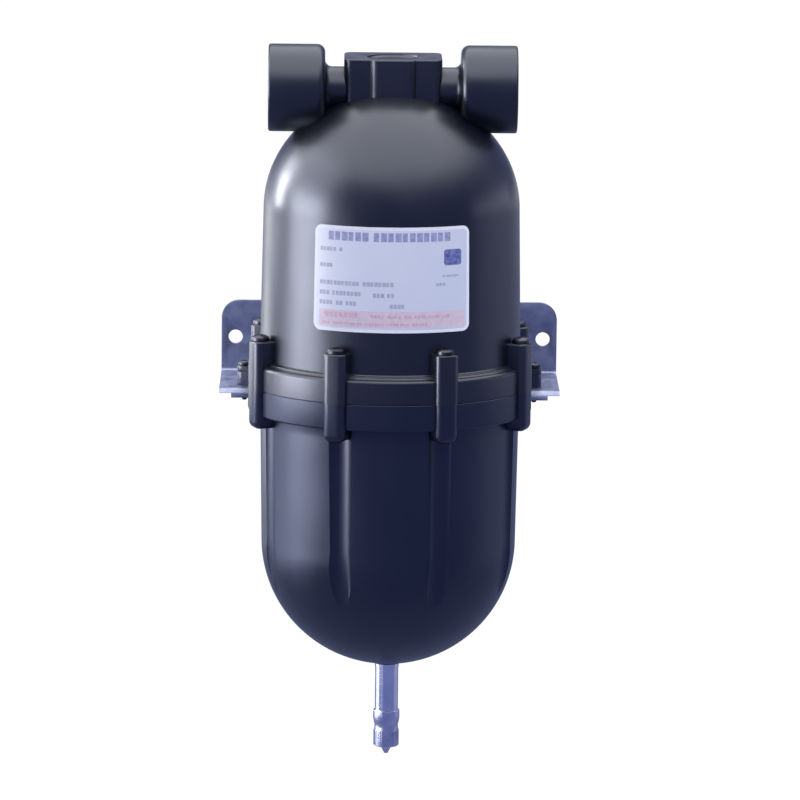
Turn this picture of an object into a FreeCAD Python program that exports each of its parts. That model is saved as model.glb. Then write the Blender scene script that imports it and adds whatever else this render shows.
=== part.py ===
import FreeCAD, Part
import math
import os

# Small pre-charged water accumulator: two moulded shells clamped over a rubber bladder,
# a pipe manifold on top, an air valve below and a folded wall bracket behind.
# Millimetres. Work is done on the tank axis, with z = 0 where the two shells meet
# and the front towards -Y, and every piece is then moved to the wall frame.

ROUND = "round"

# Upper shell
upper_foot_r = 43.1
upper_taper = 0.9
ring_w = 3.8
upper_ring_h = 8.1
ring_edge = 1.3
bead_step_h = 0.9
bead_step_w = 1.5
upper_dome_z = 58.3
upper_dome_h = 38.9
wall = 4.2
crown_wall = 5.0

# Lower shell
lower_ring_h = 8.7
lower_foot_in = 0.3
lower_taper = 0.65
lower_dome_z = 52.5
lower_dome_h = 41.9
flute_r = 5.4
flute_bend_z = 50.0
flute_tilt = 5.5
stem_boss_r = 9.0
stem_boss_h = 3.2
stem_pad_r = 4.8
stem_pad_h = 0.35

# Pipe manifold, moulded in one with the upper shell
port_rise = 0.6
port_r = 14.4
port_l = 18.6
neck_l = 6.2
port_inner_edge = 2.7
port_outer_edge = 0.7
port_bore_r = 9.6
port_bore_depth = 15.0
port_mouth_chamfer = 0.9
neck_r = 7.1
water_way_r = 3.9
tank_way_r = 4.0
boss_w = 32.2
boss_front = 8.2
boss_back = 14.0
boss_corner_r = 3.0
boss_pad_w = 15.6
boss_pad_out = 1.7
boss_pad_r = 1.5
boss_rise = 10.4
boss_top_edge = 0.6
dish_r = 8.6
dish_slope = 1.6
dish_depth = 1.0

# Clamping lugs and their screws
lug_count = 8
lug_first_angle = 22.5
lug_out = 2.4
lug_w = 7.8
lower_lug_w = 7.4
lug_corner_r = 2.3
lug_top_edge = 0.5
upper_lug_h = 16.4
lower_lug_h = 12.8
lower_lug_end_r = 2.6
screw_r = 1.9
screw_hole_gap = 0.2
screw_thread_gap = 0.05
screw_bite = 8.6
screw_hole_spare = 1.0
screw_head_r = 2.9
screw_head_h = 1.9
screw_drive_w = 0.7
screw_drive_l = 3.2
screw_drive_depth = 1.0
screw_point = 0.5
head_side_share = 0.45
head_flat_share = 0.35

# Bladder
bladder_t = 1.6
bladder_gap = 0.6
bladder_crown_gap = 0.8
bead_w = 3.4
bead_h = 3.0
bead_gap = 0.05

# Wall bracket, folded from one sheet
sheet_t = 1.5
bend_r = 1.2
bracket_side = 9.85
wall_clearance = 1.1
plate_h = 24.2
plate_corner_r = 6.0
shelf_drop = 4.6
shelf_front_y = 11.0
lip_h = 1.5
lip_trim = 4.0
ring_gap = 0.4
wall_hole_r = 2.4
wall_hole_edge = 4.75
wall_hole_h = 11.7

# Ears on the shells that the bracket screws go through
ear_angle = 112.5
ear_wall = 0.8
ear_top_z = 2.0
ear_screw_r = 1.5
ear_screw_gap = 0.1
ear_head_r = 2.1
ear_head_h = 1.6
ear_lug_gap = 1.0
nut_across_flats = 5.5
nut_h = 2.4
ear_screw_end = 1.2
face_gap = 0.05

# Air valve
stem_r = 3.875
stem_gap = 0.06
stem_flange_r = 6.5
stem_flange_h = 1.5
stem_washer_r = 6.2
stem_washer_h = 1.2
lock_ring_r = 4.0
lock_ring_h = 1.4
stem_out = 16.0
thread_r = 3.35
thread_l = 5.0
stem_chamfer = 0.4
core_bore_r = 2.6
core_seat_depth = 6.6
core_way_r = 2.1
core_way_depth = 17.0
air_way_r = 1.2

# Valve core
core_gap = 0.08
plug_end = 0.5
plug_l = 4.9
barrel_r = 1.85
barrel_end = 13.5
barrel_bore_r = 1.5
barrel_cap_t = 2.0
barrel_seal_h = 1.1
pin_r = 0.6
pin_hole_gap = 0.1
pin_end = 0.3
collar_r = 1.35
collar_h = 0.8
collar_at = 2.5
core_seal_r = 1.5
core_seal_h = 1.2
pin_head_r = 1.3
pin_head_h = 0.8
spring_r = 1.1
spring_wire_r = 0.15
spring_turns = 6

# Valve cap
cap_gap = 0.07
cap_l = 15.0
cap_rim_r = 4.4
cap_rim_h = 2.3
cap_waist_r = 3.95
cap_waist_at = 5.6
cap_knurl_r = 4.25
cap_knurl_at = 7.2
cap_knurl_end = 12.2
cap_tip_r = 0.9
cap_tip_l = 2.3
cap_tip_root = 0.85
cap_tip_slot_w = 0.8
cap_tip_slot_l = 1.4
cap_flute_count = 12
cap_flute_r = 0.55
cap_flute_depth = 0.2
gasket_h = 0.9

# Label
label_w = 53.3
label_h = 34.4
label_below_dome = 17.9
label_t = 0.25
label_corner_r = 2.5

# Sizes that follow from the ones above
ring_r = upper_foot_r + ring_w
upper_dome_r = upper_foot_r - upper_taper
lower_foot_r = upper_foot_r - lower_foot_in
lower_dome_r = lower_foot_r - lower_taper
lug_r = ring_r + lug_out
port_z = upper_dome_z + upper_dome_h + port_rise
boss_top_z = port_z + boss_rise
port_inner_x = boss_w / 2 + neck_l
port_outer_x = port_inner_x + port_l
label_z = upper_dome_z - label_below_dome
bracket_w = 2 * (ring_r + bracket_side)
wall_hole_spacing = bracket_w - 2 * wall_hole_edge
cavity_foot_r = upper_foot_r - wall
seat_r = cavity_foot_r + bead_w
screw_ring_r = (upper_foot_r + lug_r) / 2
bracket_front_y = ring_r + wall_clearance
wall_y = bracket_front_y + sheet_t
wall_hole_z = wall_hole_h - shelf_drop
ear_ring_r = lug_r + ear_head_r + ear_lug_gap
ear_r = ear_screw_r + ear_screw_gap + ear_wall
shell_bottom_z = -lower_dome_z - lower_dome_h - stem_pad_h
stem_boss_z = -lower_dome_z - lower_dome_h + crown_wall + stem_boss_h
stem_flange_z = stem_boss_z + stem_washer_h
cap_rim_z = shell_bottom_z - stem_out
stem_end_z = cap_rim_z - thread_l
cap_bore_r = thread_r + cap_gap


def vec(x, y, z):
    return FreeCAD.Vector(x, y, z)


def outline(points, place):
    """Closed wire through points; one marked ROUND is the corner of a quarter ellipse."""
    edges = []
    count = len(points)
    for i, point in enumerate(points):
        if len(point) == 3:
            curve = Part.BezierCurve()
            before, after = points[i - 1], points[(i + 1) % count]
            curve.setPoles([place(*before[:2]), place(*point[:2]), place(*after[:2])])
            curve.setWeight(2, math.sqrt(0.5))
            edges.append(curve.toShape())
        elif len(points[(i + 1) % count]) == 2:
            edges.append(Part.LineSegment(place(*point), place(*points[(i + 1) % count])).toShape())
    return Part.Wire(edges)


def turned(points):
    """Solid turned round the tank axis from an outline of (radius, height)."""
    wire = outline(points, lambda r, z: vec(r, 0, z))
    return Part.Face(wire).revolve(vec(0, 0, 0), vec(0, 0, 1), 360)


def cylinder(radius, low, high, x=0.0):
    return Part.makeCylinder(radius, high - low, vec(x, 0, low))


def block(x0, x1, y0, y1, z0, z1):
    return Part.makeBox(x1 - x0, y1 - y0, z1 - z0, vec(x0, y0, z0))


def prism(corners, low, high):
    """Upright solid over a polygon of (x, y) corners."""
    points = [vec(x, y, low) for x, y in corners]
    return Part.Face(Part.makePolygon(points + points[:1])).extrude(vec(0, 0, high - low))


def at_angle(shape, angle):
    """Shape built along +X, turned to an angle measured from the front."""
    turned_shape = shape.copy()
    turned_shape.rotate(vec(0, 0, 0), vec(0, 0, 1), angle - 90)
    return turned_shape


def lug_angles():
    return [lug_first_angle + 360 / lug_count * i for i in range(lug_count)]


def upright_edges(shape, x_min):
    """Upright edges of a block further out than x_min."""
    found = []
    for edge in shape.Edges:
        a, b = edge.Vertexes[0].Point, edge.Vertexes[-1].Point
        if abs(a.z - b.z) > 1 and min(a.x, b.x) > x_min:
            found.append(edge)
    return found


def edges_at_height(shape, z, x_min):
    """Edges of a block in one level plane that reach beyond x_min."""
    found = []
    for edge in shape.Edges:
        level = all(abs(v.Point.z - z) < 1e-6 for v in edge.Vertexes)
        if level and max(v.Point.x for v in edge.Vertexes) > x_min:
            found.append(edge)
    return found


def lug(low, high, width, end_z, end_r):
    """Screw lug built along +X, its free end rounded, its root inside the shell wall."""
    root = upper_foot_r - wall / 2
    solid = block(root, lug_r, -width / 2, width / 2, low, high)
    solid = solid.makeFillet(lug_corner_r, upright_edges(solid, root + 1))
    return solid.makeFillet(end_r, edges_at_height(solid, end_z, root + 1))


def ear(low, high):
    """Boss outside a lug for a bracket screw, joined to the lug by a web of its own width."""
    boss = cylinder(ear_r, low, high, ear_ring_r)
    web = block(screw_ring_r, ear_ring_r, -ear_r, ear_r, low, high)
    hole = cylinder(ear_screw_r + ear_screw_gap, low - 1, high + 1, ear_ring_r)
    return boss.fuse(web), hole


def dome_points(foot_r, foot_z, dome_r, dome_z, dome_h):
    """Outline of a tapered wall with a half-elliptical end, from its foot to the axis."""
    top = dome_z + dome_h
    return [(foot_r, foot_z), (dome_r, dome_z), (dome_r, top, ROUND), (0, top)]


def upper_cavity():
    return turned([(0, 0)] + dome_points(cavity_foot_r, 0, upper_dome_r - wall, upper_dome_z,
                                         upper_dome_h - crown_wall))


def upright_edges(solid, back):
    """The upright edges that lie in front of a given depth."""
    upright = [e for e in solid.Edges if abs(e.Vertexes[0].Point.z - e.Vertexes[-1].Point.z) > 1]
    return [e for e in upright if e.Vertexes[0].Point.y < back]


def manifold():
    """Neck, two pipe ports and the boss with its raised front pad, before the bores are cut."""
    port = turned([
        (0, port_inner_x), (port_r - port_inner_edge, port_inner_x), (port_r, port_inner_x, ROUND),
        (port_r, port_inner_x + port_inner_edge), (port_r, port_outer_x - port_outer_edge),
        (port_r - port_outer_edge, port_outer_x), (0, port_outer_x),
    ])
    neck = cylinder(neck_r, 0, port_inner_x + port_inner_edge)
    arm = port.fuse(neck)
    right = arm.copy()
    right.rotate(vec(0, 0, 0), vec(0, 1, 0), 90)
    left = arm.copy()
    left.rotate(vec(0, 0, 0), vec(0, 1, 0), -90)
    right.translate(vec(0, 0, port_z))
    left.translate(vec(0, 0, port_z))

    boss_low = upper_dome_z + upper_dome_h - crown_wall - neck_r
    body = block(-boss_w / 2, boss_w / 2, -boss_front, boss_back, boss_low, boss_top_z)
    body = body.makeFillet(boss_corner_r, upright_edges(body, boss_back + 1))
    pad_y = -boss_front - boss_pad_out
    pad = block(-boss_pad_w / 2, boss_pad_w / 2, pad_y, 0, boss_low, boss_top_z)
    pad = pad.makeFillet(boss_pad_r, upright_edges(pad, pad_y + 1))
    boss = body.fuse(pad).removeSplitter()
    rim = [e for e in boss.Edges if all(abs(v.Point.z - boss_top_z) < 1e-6 for v in e.Vertexes)]
    boss = boss.makeFillet(boss_top_edge, rim)
    dish = turned([
        (0, boss_top_z - dish_depth), (dish_r - dish_slope, boss_top_z - dish_depth),
        (dish_r, boss_top_z - dish_depth, ROUND), (dish_r, boss_top_z), (dish_r, boss_top_z + 1),
        (0, boss_top_z + 1),
    ])
    return right.fuse([left, boss.cut(dish)])


def port_bores():
    """Pipe bore, its mouth chamfer and the water way, for both ports."""
    bottom = port_outer_x - port_bore_depth
    mouth_r = port_bore_r + port_mouth_chamfer
    tool = turned([
        (0, -1), (water_way_r, -1), (water_way_r, bottom), (port_bore_r, bottom),
        (port_bore_r, port_outer_x - port_mouth_chamfer), (mouth_r, port_outer_x),
        (mouth_r, port_outer_x + 1), (0, port_outer_x + 1),
    ])
    tools = []
    for turn in (90, -90):
        side = tool.copy()
        side.rotate(vec(0, 0, 0), vec(0, 1, 0), turn)
        side.translate(vec(0, 0, port_z))
        tools.append(side)
    return tools


def upper_shell():
    body = turned(
        [(0, 0), (ring_r, 0), (ring_r, upper_ring_h - ring_edge), (ring_r, upper_ring_h, ROUND),
         (ring_r - ring_edge, upper_ring_h), (upper_foot_r + bead_step_w, upper_ring_h),
         (upper_foot_r + bead_step_w, upper_ring_h + bead_step_h)]
        + dome_points(upper_foot_r, upper_ring_h + bead_step_h, upper_dome_r, upper_dome_z, upper_dome_h)
    )
    added = [manifold()]
    removed = [upper_cavity(), cylinder(seat_r, -1, bead_h / 2)]
    removed.append(cylinder(tank_way_r, upper_dome_z, port_z))
    removed += port_bores()
    for angle in lug_angles():
        added.append(at_angle(lug(0, upper_lug_h, lug_w, upper_lug_h, lug_top_edge), angle))
        hole = cylinder(screw_r + screw_hole_gap, -1, upper_lug_h + 1, screw_ring_r)
        removed.append(at_angle(hole, angle))
    for angle in (ear_angle, -ear_angle):
        boss, hole = ear(0, ear_top_z)
        added.append(at_angle(boss, angle))
        removed.append(at_angle(hole, angle))
    return body.fuse(added).removeSplitter().cut(removed)


def lower_shell():
    bottom = -lower_dome_z - lower_dome_h
    body = turned([
        (0, 0), (ring_r, 0), (ring_r, -lower_ring_h), (lower_foot_r, -lower_ring_h),
        (lower_dome_r, -lower_dome_z), (lower_dome_r, bottom, ROUND), (0, bottom),
    ])
    cavity = turned([
        (0, 0), (lower_foot_r - wall, 0), (lower_dome_r - wall, -lower_dome_z),
        (lower_dome_r - wall, bottom + crown_wall, ROUND), (0, bottom + crown_wall),
    ])
    flute = cylinder(flute_r, -flute_bend_z, -lower_ring_h, screw_ring_r)
    flute_tail = cylinder(flute_r, bottom, -flute_bend_z, screw_ring_r)
    flute_tail.rotate(vec(screw_ring_r, 0, -flute_bend_z), vec(0, 1, 0), flute_tilt)
    flutes = []
    for angle in lug_angles():
        flutes += [at_angle(flute, angle), at_angle(flute_tail, angle)]
    body = body.cut([cavity] + flutes)

    added = [cylinder(stem_boss_r, bottom + crown_wall / 2, stem_boss_z)]
    added.append(cylinder(stem_pad_r, shell_bottom_z, bottom + crown_wall / 2))
    removed = [cylinder(seat_r, -bead_h / 2, 1)]
    removed.append(cylinder(stem_r + stem_gap, shell_bottom_z - 1, stem_boss_z + 1))
    for angle in lug_angles():
        added.append(at_angle(lug(-lower_lug_h, 0, lower_lug_w, -lower_lug_h, lower_lug_end_r), angle))
        hole = cylinder(screw_r + screw_thread_gap, -screw_bite - screw_hole_spare, 1, screw_ring_r)
        removed.append(at_angle(hole, angle))
    for angle in (ear_angle, -ear_angle):
        boss, hole = ear(-shelf_drop + face_gap, 0)
        added.append(at_angle(boss, angle))
        removed.append(at_angle(hole, angle))
    return body.fuse(added).cut(removed)


def bladder():
    """Deep rubber cup that fills the upper shell when no water is held."""
    outer_r = cavity_foot_r - bladder_gap
    inner_r = outer_r - bladder_t
    outer_dome_r = upper_dome_r - wall - bladder_gap
    inner_dome_r = outer_dome_r - bladder_t
    top = upper_dome_z + upper_dome_h - crown_wall - bladder_crown_gap
    half = bead_h / 2 - bead_gap
    return turned([
        (inner_r, -half), (seat_r - bead_gap, -half), (seat_r - bead_gap, half), (outer_r, half),
        (outer_dome_r, upper_dome_z), (outer_dome_r, top, ROUND), (0, top), (0, top - bladder_t),
        (inner_dome_r, top - bladder_t, ROUND), (inner_dome_r, upper_dome_z),
    ])


def pan_screw(shank_r, low, seat_z, head_r, head_h):
    """Pan-head screw with a cross recess, point down, head on a seat."""
    top = seat_z + head_h
    point = shank_r * screw_point
    screw = turned([
        (0, low), (shank_r - point, low), (shank_r, low + point * 2), (shank_r, seat_z), (head_r, seat_z),
        (head_r, seat_z + head_h * head_side_share), (head_r, top, ROUND),
        (head_r * head_flat_share, top), (0, top),
    ])
    arm = screw_drive_l / 2 * head_r / screw_head_r
    half = screw_drive_w / 2
    deep = top - screw_drive_depth
    cross = block(-arm, arm, -half, half, deep, top + 1).fuse(block(-half, half, -arm, arm, deep, top + 1))
    return screw.cut(cross)


def clamp_screw(angle):
    screw = pan_screw(screw_r, -screw_bite, upper_lug_h, screw_head_r, screw_head_h)
    screw.translate(vec(screw_ring_r, 0, 0))
    return at_angle(screw, angle)


def bracket_screw(angle):
    low = -shelf_drop - sheet_t - nut_h - ear_screw_end
    screw = pan_screw(ear_screw_r, low, ear_top_z, ear_head_r, ear_head_h)
    screw.translate(vec(ear_ring_r, 0, 0))
    return at_angle(screw, angle)


def bracket_nut(angle):
    high = -shelf_drop - sheet_t
    corner_r = nut_across_flats / 2 / math.cos(math.pi / 6)
    corners = []
    for i in range(6):
        turn = math.pi / 3 * (i + 0.5)
        corners.append((corner_r * math.cos(turn), corner_r * math.sin(turn)))
    nut = prism(corners, high - nut_h, high)
    nut = nut.cut(cylinder(ear_screw_r + face_gap, high - nut_h - 1, high + 1))
    nut.translate(vec(ear_ring_r, 0, 0))
    return at_angle(nut, angle)


def wall_bracket():
    shelf_top = -shelf_drop
    shelf_low = shelf_top - sheet_t
    outer_bend = bend_r + sheet_t
    lip_back = shelf_front_y + sheet_t
    lip_low = shelf_low - lip_h
    plate_top = shelf_top + plate_h
    half_w = bracket_w / 2
    section = outline([
        (wall_y, plate_top), (wall_y, shelf_low + outer_bend), (wall_y, shelf_low, ROUND),
        (wall_y - outer_bend, shelf_low), (lip_back + bend_r, shelf_low), (lip_back, shelf_low, ROUND),
        (lip_back, shelf_low - bend_r), (lip_back, lip_low), (shelf_front_y, lip_low),
        (shelf_front_y, shelf_top - outer_bend), (shelf_front_y, shelf_top, ROUND),
        (shelf_front_y + outer_bend, shelf_top), (bracket_front_y - bend_r, shelf_top),
        (bracket_front_y, shelf_top, ROUND), (bracket_front_y, shelf_top + bend_r),
        (bracket_front_y, plate_top),
    ], lambda y, z: vec(-half_w, y, z))
    sheet = Part.Face(section).extrude(vec(bracket_w, 0, 0))
    corners = []
    for edge in sheet.Edges:
        points = [v.Point for v in edge.Vertexes]
        if all(abs(p.z - plate_top) < 1e-6 for p in points) and abs(points[0].x - points[-1].x) < 1e-6:
            corners.append(edge)
    sheet = sheet.makeFillet(plate_corner_r, corners)

    removed = [cylinder(ring_r + ring_gap, lip_low - 1, shelf_top + 1)]
    notch_w = lug_w + 2 * ring_gap
    for angle in lug_angles():
        notch = block(0, lug_r + ring_gap, -notch_w / 2, notch_w / 2, lip_low - 1, shelf_top + 1)
        removed.append(at_angle(notch, angle))
    for side in (1, -1):
        edge_x = side * (half_w - lip_trim)
        out_x = side * (half_w + 1)
        removed.append(block(min(edge_x, out_x), max(edge_x, out_x), shelf_front_y - 1,
                             lip_back + bend_r, lip_low - 1, shelf_low))
        hole = Part.makeCylinder(wall_hole_r, sheet_t + 2, vec(side * wall_hole_spacing / 2,
                                 bracket_front_y - 1, wall_hole_z), vec(0, 1, 0))
        removed.append(hole)
        ear_hole = cylinder(ear_screw_r + ear_screw_gap, shelf_low - 1, shelf_top + 1, ear_ring_r)
        removed.append(at_angle(ear_hole, side * ear_angle))
    return sheet.cut(removed)


def from_stem_end(depth):
    """Height of a point inside the stem, measured up from its open end."""
    return stem_end_z + depth


def valve_stem():
    body = turned([
        (0, stem_end_z), (thread_r - stem_chamfer, stem_end_z), (thread_r, stem_end_z + stem_chamfer),
        (thread_r, cap_rim_z), (stem_r, cap_rim_z), (stem_r, stem_flange_z),
        (stem_flange_r, stem_flange_z), (stem_flange_r, stem_flange_z + stem_flange_h),
        (0, stem_flange_z + stem_flange_h),
    ])
    seat = from_stem_end(core_seat_depth)
    way = from_stem_end(core_way_depth)
    bore = turned([
        (0, stem_end_z - 1), (core_bore_r, stem_end_z - 1), (core_bore_r, seat), (core_way_r, seat),
        (core_way_r, way), (air_way_r, way + core_way_r - air_way_r),
        (air_way_r, stem_flange_z + stem_flange_h + 1), (0, stem_flange_z + stem_flange_h + 1),
    ])
    return body.cut(bore)


def stem_washer():
    ring = cylinder(stem_washer_r, stem_boss_z, stem_flange_z)
    return ring.cut(cylinder(stem_r + stem_gap, stem_boss_z - 1, stem_flange_z + 1))


def stem_lock_ring():
    low = shell_bottom_z - lock_ring_h
    edge = (lock_ring_r - stem_r) / 2
    ring = turned([
        (stem_r, low), (lock_ring_r - edge, low), (lock_ring_r, low, ROUND), (lock_ring_r, low + edge),
        (lock_ring_r, shell_bottom_z), (stem_r, shell_bottom_z),
    ])
    return ring


def core_body():
    plug_r = core_bore_r - core_gap
    low = from_stem_end(plug_end)
    shoulder = low + plug_l
    high = from_stem_end(barrel_end)
    body = turned([
        (0, low), (plug_r, low), (plug_r, shoulder), (barrel_r, shoulder), (barrel_r, high), (0, high),
    ])
    chamber = cylinder(barrel_bore_r, low - 1, high - barrel_cap_t)
    return body.cut([chamber, cylinder(pin_r + pin_hole_gap, low - 1, high + 1)])


def core_barrel_seal():
    shoulder = from_stem_end(plug_end + plug_l)
    ring = cylinder(core_bore_r - face_gap, shoulder + face_gap, shoulder + barrel_seal_h)
    return ring.cut(cylinder(barrel_r + face_gap, shoulder - 1, shoulder + barrel_seal_h + 1))


def core_pin():
    low = from_stem_end(pin_end)
    collar = from_stem_end(plug_end + collar_at)
    seal = from_stem_end(barrel_end) + face_gap
    head = seal + core_seal_h
    return turned([
        (0, low), (pin_r, low), (pin_r, collar), (collar_r, collar), (collar_r, collar + collar_h),
        (pin_r, collar + collar_h), (pin_r, head), (pin_head_r, head), (pin_head_r, head + pin_head_h),
        (0, head + pin_head_h),
    ])


def core_seal():
    low = from_stem_end(barrel_end) + face_gap
    disc = cylinder(core_seal_r, low, low + core_seal_h)
    return disc.cut(cylinder(pin_r, low - 1, low + core_seal_h + 1))


def core_spring():
    """Wire spring between the pin's collar and the closed end of the barrel."""
    low = from_stem_end(plug_end + collar_at) + collar_h + spring_wire_r + face_gap
    high = from_stem_end(barrel_end) - barrel_cap_t - spring_wire_r - face_gap
    helix = Part.makeHelix((high - low) / spring_turns, high - low, spring_r)
    section = Part.Wire(Part.makeCircle(spring_wire_r, vec(spring_r, 0, 0), vec(0, 1, 0)))
    spring = Part.Wire(helix).makePipeShell([section], True, True)
    spring.translate(vec(0, 0, low))
    return spring


def valve_cap():
    def down(depth):
        return cap_rim_z - depth

    rim_edge = cap_rim_r - cap_bore_r
    tip_at = cap_l - cap_tip_l
    body = turned([
        (0, down(0)), (cap_rim_r - rim_edge / 2, down(0)), (cap_rim_r, down(0), ROUND),
        (cap_rim_r, down(rim_edge)), (cap_rim_r, down(cap_rim_h)), (cap_waist_r, down(cap_waist_at)),
        (cap_knurl_r, down(cap_knurl_at)), (cap_knurl_r, down(cap_knurl_end)),
        (cap_tip_r + cap_tip_root, down(tip_at)),
        (cap_tip_r, down(cap_l - cap_tip_r / 2)), (cap_tip_r, down(cap_l), ROUND),
        (cap_tip_r / 2, down(cap_l)), (0, down(cap_l)),
    ])
    depth = thread_l + face_gap + gasket_h
    removed = [cylinder(cap_bore_r, down(depth), down(-1))]
    removed.append(block(-cap_knurl_r, cap_knurl_r, -cap_tip_slot_w / 2, cap_tip_slot_w / 2,
                         down(cap_l + 1), down(cap_l - cap_tip_slot_l)))
    for i in range(cap_flute_count):
        groove = cylinder(cap_flute_r, down(cap_knurl_end + 1), down(cap_knurl_at),
                          cap_knurl_r + cap_flute_r - cap_flute_depth)
        removed.append(at_angle(groove, 360 / cap_flute_count * i))
    return body.cut(removed)


def cap_gasket():
    high = stem_end_z - face_gap
    return cylinder(cap_bore_r - face_gap, high - gasket_h, high)


def label():
    """Printed foil wrapped on the front of the tapered wall, cut from a larger half turn of foil."""
    foot_z = upper_ring_h + bead_step_h
    slope = (upper_dome_r - upper_foot_r) / (upper_dome_z - foot_z)

    def wall_r(z):
        return upper_foot_r + slope * (z - foot_z)

    low, high = label_z - label_h / 2, label_z + label_h / 2
    foil_low, foil_high = low - label_corner_r, high + label_corner_r
    wire = outline([(wall_r(foil_low), foil_low), (wall_r(foil_low) + label_t, foil_low),
                    (wall_r(foil_high) + label_t, foil_high), (wall_r(foil_high), foil_high)],
                   lambda r, z: vec(-r, 0, z))
    foil = Part.Face(wire).revolve(vec(0, 0, 0), vec(0, 0, 1), 180)
    half_w = wall_r(label_z) * math.sin(label_w / 2 / wall_r(label_z)) + label_t
    window = block(-half_w, half_w, -upper_foot_r - label_t - 1, -wall, low, high)
    corners = []
    for edge in window.Edges:
        points = [v.Point for v in edge.Vertexes]
        if abs(points[0].y - points[-1].y) > 1:
            corners.append(edge)
    return foil.common(window.makeFillet(label_corner_r, corners))


def main():
    pieces = {
        "upper_shell": upper_shell(),
        "lower_shell": lower_shell(),
        "bladder": bladder(),
        "wall_bracket": wall_bracket(),
        "valve_stem": valve_stem(),
        "stem_washer": stem_washer(),
        "stem_lock_ring": stem_lock_ring(),
        "core_body": core_body(),
        "core_barrel_seal": core_barrel_seal(),
        "core_pin": core_pin(),
        "core_seal": core_seal(),
        "core_spring": core_spring(),
        "valve_cap": valve_cap(),
        "cap_gasket": cap_gasket(),
        "label": label(),
    }
    for i, angle in enumerate(lug_angles()):
        pieces["clamp_screw_%d" % (i + 1)] = clamp_screw(angle)
    for name, angle in (("right", ear_angle), ("left", -ear_angle)):
        pieces["bracket_screw_" + name] = bracket_screw(angle)
        pieces["bracket_nut_" + name] = bracket_nut(angle)

    os.makedirs("parts", exist_ok=True)
    for name, shape in pieces.items():
        shape.translate(vec(0, -wall_y, -wall_hole_z))
        shape.exportStep("parts/" + name + ".step")
        box = shape.BoundBox
        print(name, len(shape.Solids), shape.isValid(), round(shape.Volume, 2),
              [round(v, 2) for v in (box.XMin, box.XMax, box.YMin, box.YMax, box.ZMin, box.ZMax)])


main()
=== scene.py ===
import bpy
from math import acos, cos, pi, radians, sin, tan
from mathutils import Matrix, Vector


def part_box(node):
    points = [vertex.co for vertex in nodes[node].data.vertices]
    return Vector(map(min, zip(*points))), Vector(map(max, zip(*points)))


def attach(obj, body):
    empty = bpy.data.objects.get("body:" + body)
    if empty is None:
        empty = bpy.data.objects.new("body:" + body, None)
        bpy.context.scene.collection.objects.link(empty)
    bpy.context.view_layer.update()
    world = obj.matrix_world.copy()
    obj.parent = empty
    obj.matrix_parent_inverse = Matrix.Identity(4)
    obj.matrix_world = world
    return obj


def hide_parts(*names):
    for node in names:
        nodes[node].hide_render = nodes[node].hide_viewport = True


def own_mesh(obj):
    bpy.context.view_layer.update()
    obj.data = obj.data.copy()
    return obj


# A small pre-charged water accumulator on its wall bracket. Two blue-black moulded shells are
# screwed together round a rubber bladder, with a pipe manifold on top and an air valve below.
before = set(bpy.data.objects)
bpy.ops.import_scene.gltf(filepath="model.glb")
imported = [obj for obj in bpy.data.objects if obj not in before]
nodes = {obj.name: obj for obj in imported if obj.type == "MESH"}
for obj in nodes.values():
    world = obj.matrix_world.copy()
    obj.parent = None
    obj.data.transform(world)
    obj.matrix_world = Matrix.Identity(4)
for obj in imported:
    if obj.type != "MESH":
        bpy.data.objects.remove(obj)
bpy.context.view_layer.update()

mm = 0.001
shell_low, shell_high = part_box("upper_shell")
axis_y = (shell_low.y + shell_high.y) / 2
parting_z = shell_low.z
tank_place = Vector((0, axis_y, parting_z))


# Upper shell
# The top half of the tank, moulded in one with the clamping ring, eight screw lugs, the neck,
# two pipe ports and the boss between them. Glossy blue-black plastic with a fine moulded grain.
ring_r = 46.9 * mm
seat_r = 42.3 * mm
seat_h = 1.5 * mm
seam_edge = 0.2 * mm
foot_edge = 0.3 * mm
upper_ring_h = 8.1 * mm
ring_edge = 1.3 * mm
bead_r = 44.6 * mm
bead_h = 0.9 * mm
bead_edge = 0.45 * mm
upper_foot_r = 43.1 * mm
upper_dome_r = 42.2 * mm
upper_dome_z = 58.3 * mm
dome_h = 38.9 * mm
wall = 4.2 * mm
crown_wall = 5.0 * mm
tank_way_r = 4.0 * mm
around_tank = 192
dome_rings = 40
wall_rings = 12

lug_r = 49.3 * mm
lug_root_r = 41.0 * mm
screw_ring_r = (upper_foot_r + lug_r) / 2
lug_w = 7.8 * mm
lug_corner = 2.3 * mm
upper_lug_h = 16.4 * mm
upper_lug_edge = 0.6 * mm
screw_hole_r = 2.1 * mm
lug_angles = [22.5 + 45 * i for i in range(8)]

ear_angles = (112.5, -112.5)
ear_ring_r = 52.4 * mm
ear_r = 2.4 * mm
ear_edge = 0.25 * mm
ear_hole_r = 1.6 * mm
ear_top = 2.0 * mm

port_z = 97.8 * mm
port_r = 14.4 * mm
port_inner_x = 22.3 * mm
port_outer_x = 40.9 * mm
port_back_edge = 2.7 * mm
port_edge = 0.8 * mm
port_bore_r = 9.6 * mm
port_bore_depth = 15.0 * mm
port_bore_cone = 1.0 * mm
port_bore_edge = 0.9 * mm
neck_r = 7.1 * mm
neck_fillet = 2.2 * mm
water_way_r = 3.9 * mm
boss_side = 16.1 * mm
boss_front = 8.2 * mm
boss_back = 14.0 * mm
boss_corner = 3.0 * mm
pad_side = 7.8 * mm
pad_out = 1.7 * mm
pad_corner = 3.2 * mm
boss_rim = 0.6 * mm
boss_top = 108.2 * mm
boss_clear = 0.4 * mm
dish_r = 8.6 * mm
dish_slope = 1.6 * mm
dish_depth = 1.0 * mm
dish_flare = 0.5 * mm

# Points closer than touch are one, and a cutting tool reaches past the surface that it cuts.
touch = 1e-6
past = 1 * mm


def start_fresh():
    if bpy.context.mode != "OBJECT":
        bpy.ops.object.mode_set(mode="OBJECT")
    bpy.ops.object.select_all(action="DESELECT")


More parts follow.
